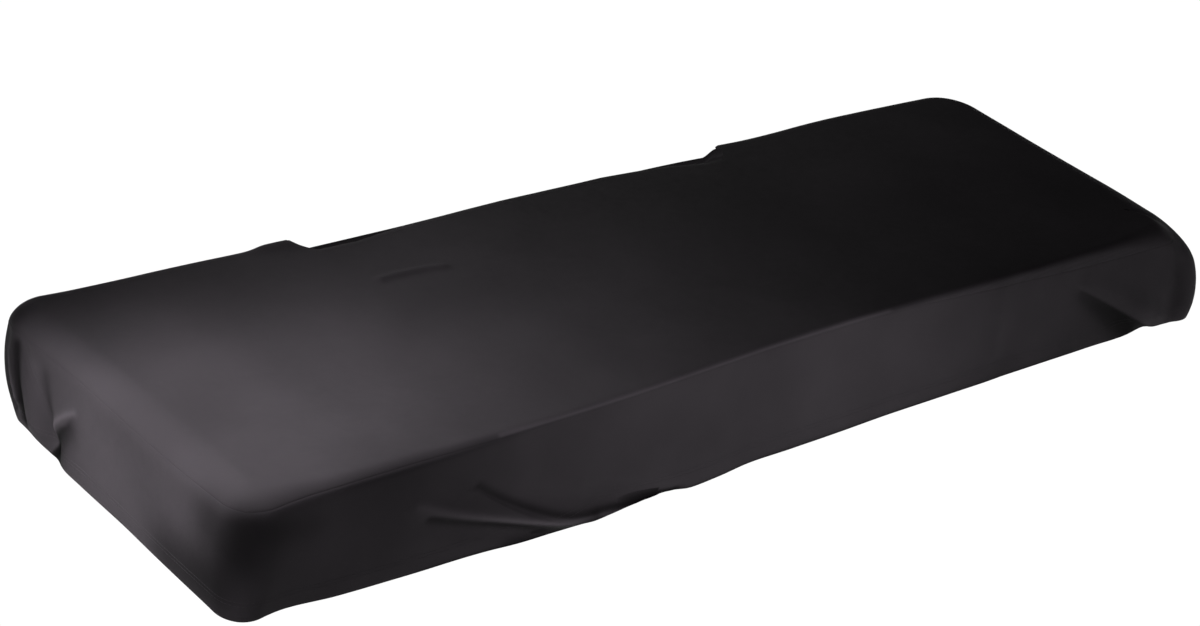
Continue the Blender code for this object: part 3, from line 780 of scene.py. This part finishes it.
def cloth_material(name, knit_tree, nap_tree):
    """A black stretch knit whose loops follow the cut, with a nap that varies, and painted shade and
    highlight.
    """
    material = bpy.data.materials.new(name)
    material.use_nodes = True
    nodes = Group(material.node_tree)
    shader = material.node_tree.nodes["Principled BSDF"]
    cut = nodes.add("ShaderNodeUVMap", {"uv_map": "cut"}).outputs[0]
    place = nodes.add("ShaderNodeTexCoord").outputs["Object"]
    knit = nodes.add("ShaderNodeGroup", {"node_tree": knit_tree}, Vector=cut, Rib=RIB, Row=LOOP_ROW)
    nap = nodes.add("ShaderNodeGroup", {"node_tree": nap_tree}, Vector=place)
    patches, mottled = nap.outputs["Patches"], nap.outputs["Mottled"]
    colour = nodes.add("ShaderNodeMix", BLEND, i0=patches, i6=CLOTH_BLACK, i7=CLOTH_WORN)
    # The knit's painted shade, mixed into the colour by half.
    low, high = LOOP_SHADE
    knit_shade = nodes.add("ShaderNodeMapRange", Value=knit.outputs["Shade"], To_Min=low, To_Max=high)
    shaded = nodes.add("ShaderNodeMix", TIMES, i0=LOOP_SHARE, i6=colour.outputs[2], i7=knit_shade.outputs[0])
    # Painted shade and highlight: the colour is darkened in folds and lightened on ridges and edges by the
    # sheets' attribute.
    painted_light = nodes.add("ShaderNodeAttribute", {"attribute_name": "painted_light"}).outputs["Fac"]
    painted_light_factor = nodes.math("POWER", PAINTED_LIGHT_BASE, painted_light)
    painted = nodes.add("ShaderNodeMix", TIMES, i0=1.0, i6=shaded.outputs[2], i7=painted_light_factor)
    nodes.feed(shader, "Base Color", painted.outputs[2])
    low, high = NAP_ROUGH
    roughness = nodes.add("ShaderNodeMapRange", Value=mottled, To_Min=low, To_Max=high)
    nodes.feed(shader, "Roughness", roughness.outputs[0])
    loops = knit.outputs["Height"]
    fine = nodes.add("ShaderNodeBump", Height=loops, Strength=KNIT_BUMP, Distance=KNIT_DEPTH).outputs[0]
    soft = nodes.add("ShaderNodeBump", Height=mottled, Strength=NAP_BUMP, Distance=NAP_DEPTH, Normal=fine)
    nodes.feed(shader, "Normal", soft.outputs[0])
    shader.inputs["Specular IOR Level"].default_value = CLOTH_SHINE
    return material


def thread_material():
    """Spun black thread: twisted plies along each stitch."""
    material = bpy.data.materials.new("black_thread")
    material.use_nodes = True
    nodes = Group(material.node_tree)
    shader = material.node_tree.nodes["Principled BSDF"]
    place = nodes.add("ShaderNodeTexCoord").outputs["Object"]
    slanted = {"bands_direction": "DIAGONAL"}
    wave = nodes.add("ShaderNodeTexWave", slanted, Vector=place, Scale=PLY_SCALE, Distortion=1.0)
    plies = wave.outputs["Fac"]
    colour = nodes.add("ShaderNodeMix", BLEND, i0=plies, i6=CLOTH_BLACK, i7=THREAD_BLACK)
    nodes.feed(shader, "Base Color", colour.outputs[2])
    bump = nodes.add("ShaderNodeBump", Height=plies, Strength=PLY_BUMP, Distance=PLY_DEPTH)
    nodes.feed(shader, "Normal", bump.outputs[0])
    shader.inputs["Roughness"].default_value = THREAD_ROUGH
    shader.inputs["Specular IOR Level"].default_value = THREAD_SHINE
    return material


# The stitches' sizes, how far above the hem its two rows run and how far in from the slot's edge the lip's
# row runs, and the points of each path.
STITCH = {"Pitch": 0.003, "Length": 0.0022, "Thickness": 0.00028, "Stand Out": 0.00002}
HEM_ROWS_ABOVE = (0.0125, 0.0155)
LIP_ROW_IN = 0.0065
HEM_POINTS, LIP_POINTS = 1400, 300


def stitch_tree():
    """Stitches along a path of edges: each point of the path carries lift, the cloth's outward direction."""
    tree = bpy.data.node_groups.new("sewn_row", "GeometryNodeTree")
    tree.interface.new_socket("Geometry", in_out="INPUT", socket_type="NodeSocketGeometry")
    for name, value in STITCH.items():
        size = tree.interface.new_socket(name, in_out="INPUT", socket_type="NodeSocketFloat")
        size.default_value = value
    tree.interface.new_socket("Thread", in_out="INPUT", socket_type="NodeSocketMaterial")
    tree.interface.new_socket("Geometry", in_out="OUTPUT", socket_type="NodeSocketGeometry")
    nodes = Group(tree)
    given, out = nodes.add("NodeGroupInput").outputs, nodes.add("NodeGroupOutput")
    named = nodes.add("GeometryNodeInputNamedAttribute", {"data_type": "FLOAT_VECTOR"}, Name="lift")
    lift = named.outputs["Attribute"]
    path = nodes.add("GeometryNodeMeshToCurve", Mesh=given["Geometry"]).outputs[0]
    even = nodes.add("GeometryNodeResampleCurve", {"mode": "LENGTH"}, Curve=path, Length=given["Pitch"])
    tangent = nodes.add("GeometryNodeInputTangent").outputs[0]
    align = "FunctionNodeAlignRotationToVector"
    along = nodes.add(align, {"axis": "X"}, Vector=tangent).outputs[0]
    upright = nodes.add(align, {"axis": "Z", "pivot_axis": "X"}, Rotation=along, Vector=lift).outputs[0]
    bead = nodes.add("GeometryNodeMeshUVSphere", Segments=8, Rings=5, Radius=0.5).outputs["Mesh"]
    thick = given["Thickness"]
    size = nodes.add("ShaderNodeCombineXYZ", X=given["Length"], Y=thick, Z=thick).outputs[0]
    shaped = nodes.add("GeometryNodeTransform", Geometry=bead, Scale=size).outputs[0]
    smooth = nodes.add("GeometryNodeSetShadeSmooth", Geometry=shaped).outputs[0]
    raised = nodes.add("ShaderNodeVectorMath", {"operation": "SCALE"}, i0=lift, Scale=given["Stand Out"])
    moved = nodes.add("GeometryNodeSetPosition", Geometry=even.outputs[0], Offset=raised.outputs[0])
    points = moved.outputs[0]
    laid = nodes.add("GeometryNodeInstanceOnPoints", Points=points, Instance=smooth, Rotation=upright)
    real = nodes.add("GeometryNodeRealizeInstances", Geometry=laid.outputs[0])
    dressed = nodes.add("GeometryNodeSetMaterial", Geometry=real.outputs[0], Material=given["Thread"])
    nodes.feed(out, "Geometry", dressed.outputs[0])
    return tree


def sewn_row(name, tree, paths, thread):
    """Stitches along closed or open paths. Each path is points, outward directions and whether it closes."""
    points, lifts, edges = [], [], []
    for path, lift, closed in paths:
        first = len(points)
        points += path.tolist()
        lifts += lift.tolist()
        count = len(path)
        edges += [(first + i, first + i + 1) for i in range(count - 1)]
        if closed:
            edges.append((first + count - 1, first))
    mesh = bpy.data.meshes.new(name + "_path")
    mesh.from_pydata(points, edges, [])
    outward = mesh.attributes.new("lift", "FLOAT_VECTOR", "POINT")
    outward.data.foreach_set("vector", np.array(lifts, np.float32).ravel())
    guide = bpy.data.objects.new(name, mesh)
    bpy.context.scene.collection.objects.link(guide)
    modifier = guide.modifiers.new("sewn_row", "NODES")
    modifier.node_group = tree
    values = {"Thread": thread, **STITCH}
    for item in tree.interface.items_tree:
        if item.in_out == "INPUT" and item.name in values:
            modifier[item.identifier] = values[item.name]
    sewn = bpy.data.meshes.new_from_object(guide.evaluated_get(bpy.context.evaluated_depsgraph_get()))
    guide.modifiers.clear()
    guide.data = sewn
    bpy.data.meshes.remove(mesh)
    return guide


def sewing_paths():
    """The hem's two sewn rows, and the row along the slot's lip."""
    loop = np.linspace(0, RIM_LENGTH, HEM_POINTS, endpoint=False)
    end = skirt_end(loop)
    hem = []
    for above in HEM_ROWS_ABOVE:
        run = end - above
        hem.append((placed(cloth(loop, run)), normals(loop, run), True))
    open_length = SLOT_TO - SLOT_FROM - 2 * SLOT_END
    slot = rim_place("rear", SLOT_TO - SLOT_END) + np.linspace(0, open_length, LIP_POINTS)
    lip = panel_end(slot) - LIP_ROW_IN
    return hem, [(placed(cloth(slot, lip)), normals(slot, lip), False)]


def aimed(name, lamp, place, target, power):
    """A lamp's object at place, turned to its target."""
    lamp.energy = power
    made = bpy.data.objects.new(name, lamp)
    made.location = place
    made.rotation_euler = (Vector(target) - Vector(place)).to_track_quat("-Z", "Y").to_euler()
    bpy.context.scene.collection.objects.link(made)


# The camera: where it stands, which way it looks, its roll and its lens for a picture 1200 by 626.
CAMERA_PLACE = (-1.3384, -1.2902, 1.0164)
CAMERA_BEARING, CAMERA_DOWN, CAMERA_ROLL = radians(44.55), radians(27.87), radians(9.54)
CAMERA_LENS = 79.74


def make_camera():
    """The camera, at the angle that the picture is taken from."""
    camera = bpy.data.objects.new("camera", bpy.data.cameras.new("camera"))
    camera.data.lens = CAMERA_LENS
    camera.data.sensor_fit = "HORIZONTAL"
    turned = Matrix.Rotation(-CAMERA_BEARING, 4, "Z") @ Matrix.Rotation(pi / 2 - CAMERA_DOWN, 4, "X")
    camera.matrix_world = Matrix.Translation(CAMERA_PLACE) @ turned @ Matrix.Rotation(CAMERA_ROLL, 4, "Z")
    bpy.context.scene.collection.objects.link(camera)
    bpy.context.scene.camera = camera


# The floor: half its side, how far it lies under the hem and how bright it is.
FLOOR_HALF = 6.0
FLOOR_DROP = 0.0003
FLOOR_GLOW = 1.02


def make_floor():
    """A wide pale floor, as evenly bright as a lit sweep of paper."""
    mesh = bpy.data.meshes.new("floor")
    corners = [(x * FLOOR_HALF, y * FLOOR_HALF, 0) for x, y in ((-1, -1), (1, -1), (1, 1), (-1, 1))]
    mesh.from_pydata(corners, [], [(0, 1, 2, 3)])
    floor = bpy.data.objects.new("floor", mesh)
    floor.location.z = -FLOOR_DROP
    material = bpy.data.materials.new("pale_floor")
    material.use_nodes = True
    shader = material.node_tree.nodes["Principled BSDF"]
    shader.inputs["Base Color"].default_value = (0.0, 0.0, 0.0, 1.0)
    shader.inputs["Roughness"].default_value = 0.9
    shader.inputs["Specular IOR Level"].default_value = 0.0
    shader.inputs["Emission Color"].default_value = (1.0, 1.0, 1.0, 1.0)
    shader.inputs["Emission Strength"].default_value = FLOOR_GLOW
    mesh.materials.append(material)
    bpy.context.scene.collection.objects.link(floor)


# The lamps: soft round spots, each with its place, target, cone in degrees and power, and a soft box behind
# with its width and height.
Spot = namedtuple("Spot", "name place target cone power")
SPOTS = (
    Spot("left_end", (-0.80, -0.10, 0.35), (-0.49, -0.03, 0.06), 20, 95),
    Spot("left_side", (-1.20, 0.10, 0.30), (-0.49, 0.02, 0.05), 20, 100),
    Spot("left_top", (-0.50, 0.20, 0.90), (-0.42, -0.13, 0.09), 30, 95),
    Spot("middle_top", (-0.50, 0.80, 0.90), (-0.20, -0.04, 0.09), 21, 65),
    Spot("front_high", (-0.35, -0.85, 0.85), (-0.17, -0.15, 0.06), 26, 10),
    Spot("front_left", (-0.50, -1.40, 0.30), (-0.10, -0.15, 0.05), 26, 66),
    Spot("front", (0.20, -1.20, 0.12), (0.10, -0.15, 0.06), 26, 32),
    Spot("front_right", (1.00, -1.00, 0.30), (0.45, -0.13, 0.05), 26, 16),
)
SPOT_SOFTNESS = 0.12
Box = namedtuple("Box", "name place target size power")
REAR_BOX = Box("rear", (0.8, 1.2, 0.9), (0.3, 0.0, 0.08), (0.8, 0.6), 8)


def make_light():
    """The lamps, in a surround that gives no light."""
    for spot in SPOTS:
        lamp = bpy.data.lights.new(spot.name, "SPOT")
        lamp.spot_size = radians(spot.cone)
        lamp.spot_blend = 1.0
        lamp.shadow_soft_size = SPOT_SOFTNESS
        aimed(spot.name, lamp, spot.place, spot.target, spot.power)
    lamp = bpy.data.lights.new(REAR_BOX.name, "AREA")
    lamp.shape = "RECTANGLE"
    lamp.size, lamp.size_y = REAR_BOX.size
    aimed(REAR_BOX.name, lamp, REAR_BOX.place, REAR_BOX.target, REAR_BOX.power)
    world = bpy.data.worlds.new("surround")
    world.use_nodes = True
    world.node_tree.nodes["Background"].inputs["Strength"].default_value = 0.0
    bpy.context.scene.world = world


bpy.context.scene.view_settings.view_transform = "Standard"
knit_tree, nap_tree = knit_group(), nap_group()
top_knit = cloth_material("top_knit", knit_tree, nap_tree)
skirt_knit = cloth_material("skirt_knit", knit_tree, nap_tree)
thread = thread_material()

top = make_top()
top.data.materials.append(top_knit)
skirt = make_skirt()
skirt.data.materials.append(skirt_knit)
sewing = stitch_tree()
hem_paths, lip_paths = sewing_paths()
hem_rows = sewn_row("hem_rows", sewing, hem_paths, thread)
lip_row = sewn_row("lip_row", sewing, lip_paths, thread)

slots = ((top, "top_cloth"), (skirt, "skirt_cloth"), (hem_rows, "skirt_cloth"), (lip_row, "top_cloth"))
for piece, slot in slots:
    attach(piece, "root")
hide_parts("top_panel")
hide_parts("skirt")

make_camera()
make_floor()
make_light()
